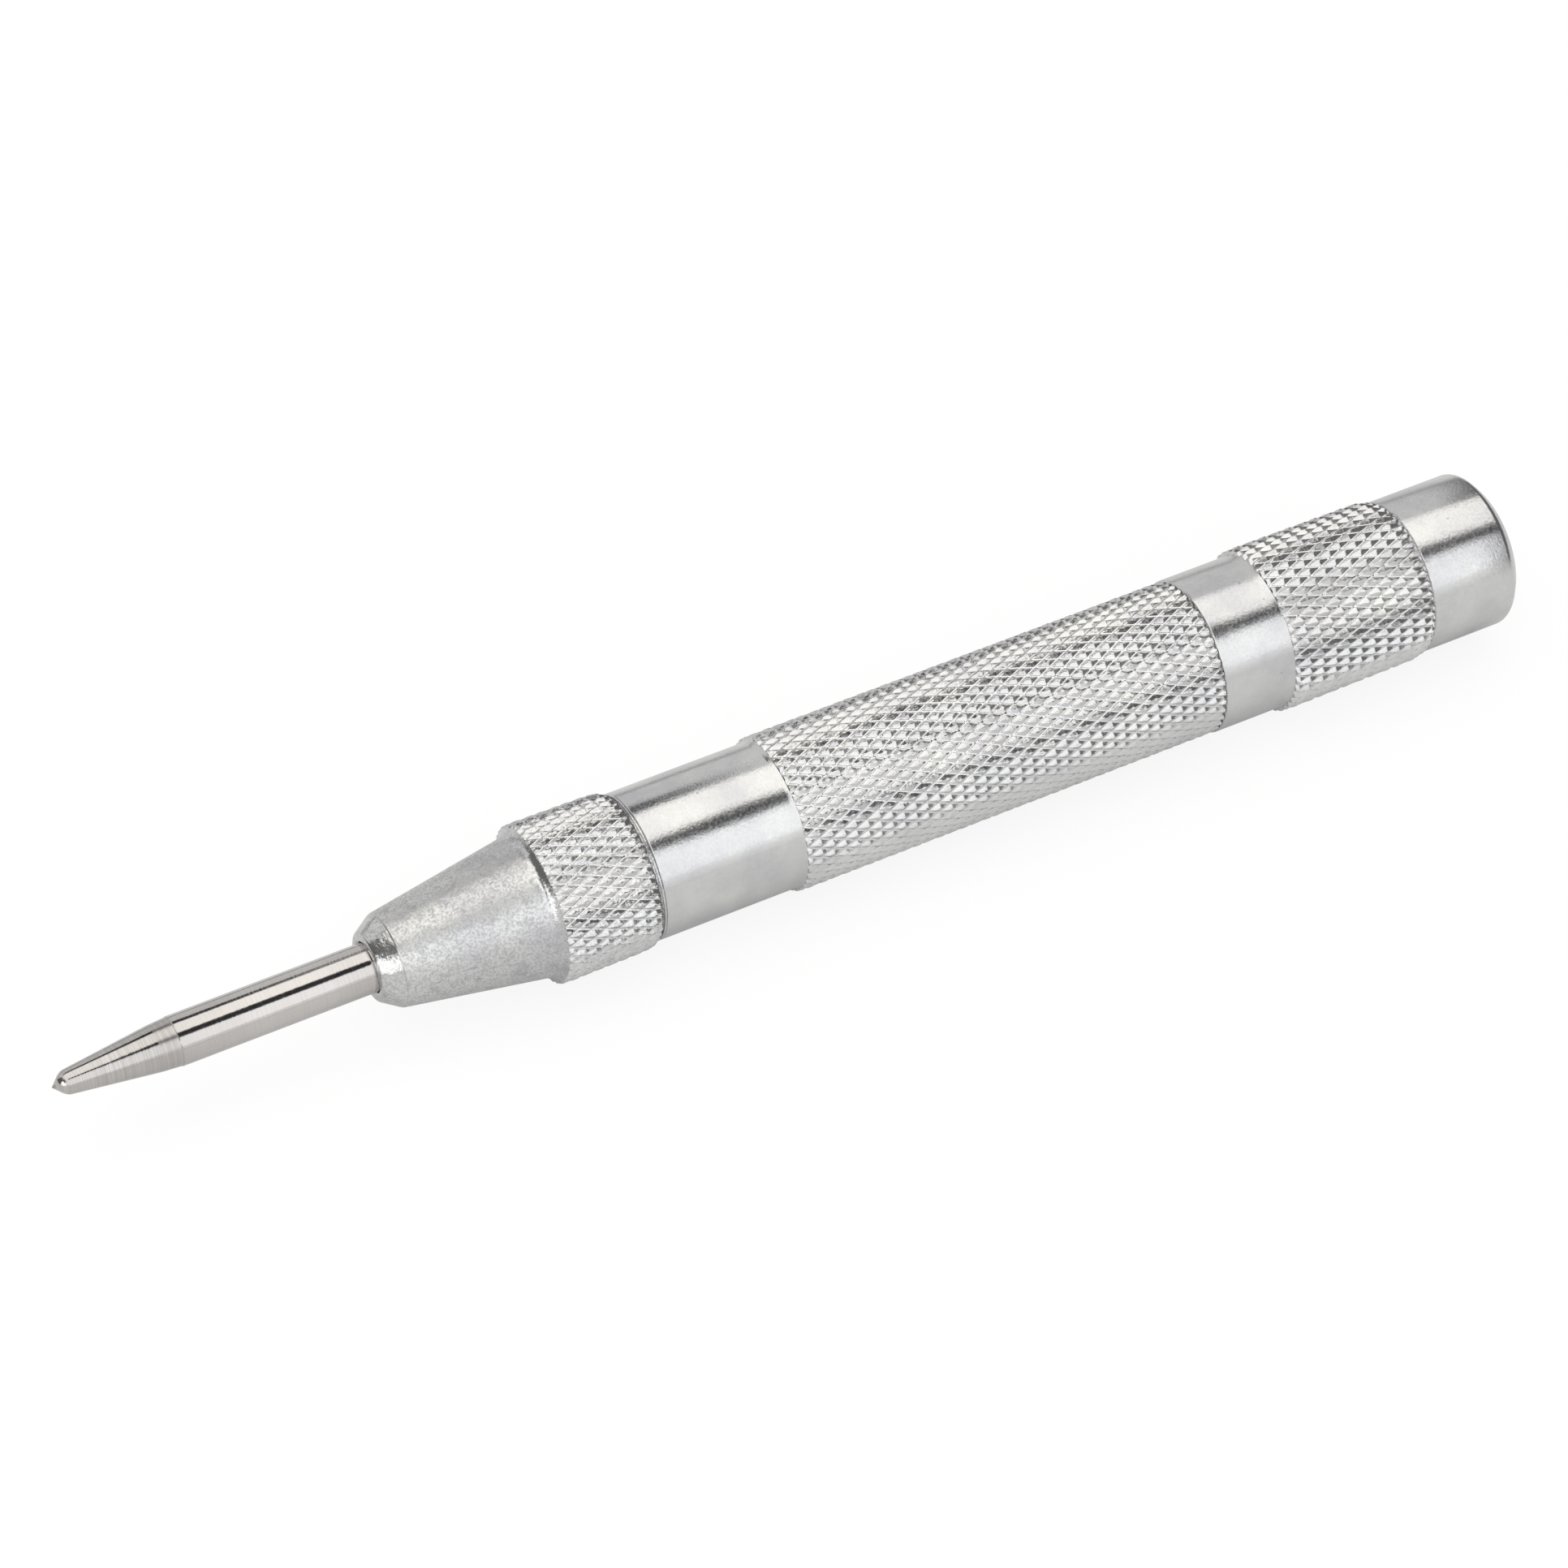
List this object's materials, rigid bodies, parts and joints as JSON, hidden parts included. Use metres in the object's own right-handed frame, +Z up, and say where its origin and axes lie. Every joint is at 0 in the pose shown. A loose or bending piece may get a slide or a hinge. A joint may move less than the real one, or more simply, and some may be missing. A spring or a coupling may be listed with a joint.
{
  "type": "automatic center punch",
  "caption": "Spring-loaded center punch: ground rod, tapered nose, knurled barrel and screwed cap round a hammer, latch and springs.",
  "frame": {"origin": "middle of the tool's length, on the plane that touches the lowest crests of the cap's knurl", "axes": "+X along the tool's axis from the point to the cap, +Z up, tool lying level"},
  "size_m": [0.127, 0.0138, 0.0138],
  "materials": {
    "plated_steel": "bright zinc plating over turned and knurled steel, satin",
    "ground_steel": "hardened and ground",
    "turned_steel": "plain turned",
    "hardened_steel": "hardened, dark, oiled",
    "spring_wire": "drawn wire, oiled"
  },
  "bodies": {
    "housing": {"nose_cone": "plated_steel", "barrel": "plated_steel", "guide_bush": "turned_steel", "return_spring": "spring_wire"},
    "punch": {"punch_rod": "ground_steel", "plunger": "ground_steel"},
    "hammer": {"hammer": "hardened_steel", "latch_spring": "spring_wire"},
    "latch": {"release_latch": "hardened_steel"},
    "seat": {"spring_seat": "turned_steel", "main_spring": "spring_wire"},
    "cap": {"adjusting_cap": "plated_steel"}
  },
  "joints": [
    {"name": "punch_slide", "type": "slide", "parent": "housing", "child": "punch", "axis": [1, 0, 0], "range_m": [0, 0.008], "stiffness_N_per_m": 6000, "springref_m": -0.0005, "deforming": ["return_spring"]},
    {"name": "hammer_slide", "type": "slide", "parent": "housing", "child": "hammer", "axis": [1, 0, 0], "range_m": [0, 0.008], "deforming": ["main_spring"]},
    {"name": "latch_slide", "type": "slide", "parent": "hammer", "child": "latch", "axis": [0, -1, 0], "range_m": [0, 0.00062], "deforming": ["latch_spring"]},
    {"name": "seat_slide", "type": "slide", "parent": "housing", "child": "seat", "axis": [1, 0, 0], "range_m": [0, 0.00375]},
    {"name": "cap_turn", "type": "hinge", "parent": "seat", "child": "cap", "pos_m": [0.0465, 0, 0.00688], "axis": [1, 0, 0], "range_deg": [0, 1800]}
  ],
  "couplings": [
    {"joint": "hammer_slide", "follows": "punch_slide", "ratio": 1},
    {"joint": "latch_slide", "follows": "punch_slide", "ratio": 0.0775},
    {"joint": "cap_turn", "follows": "seat_slide", "rad_per_m": 8377.6}
  ]
}
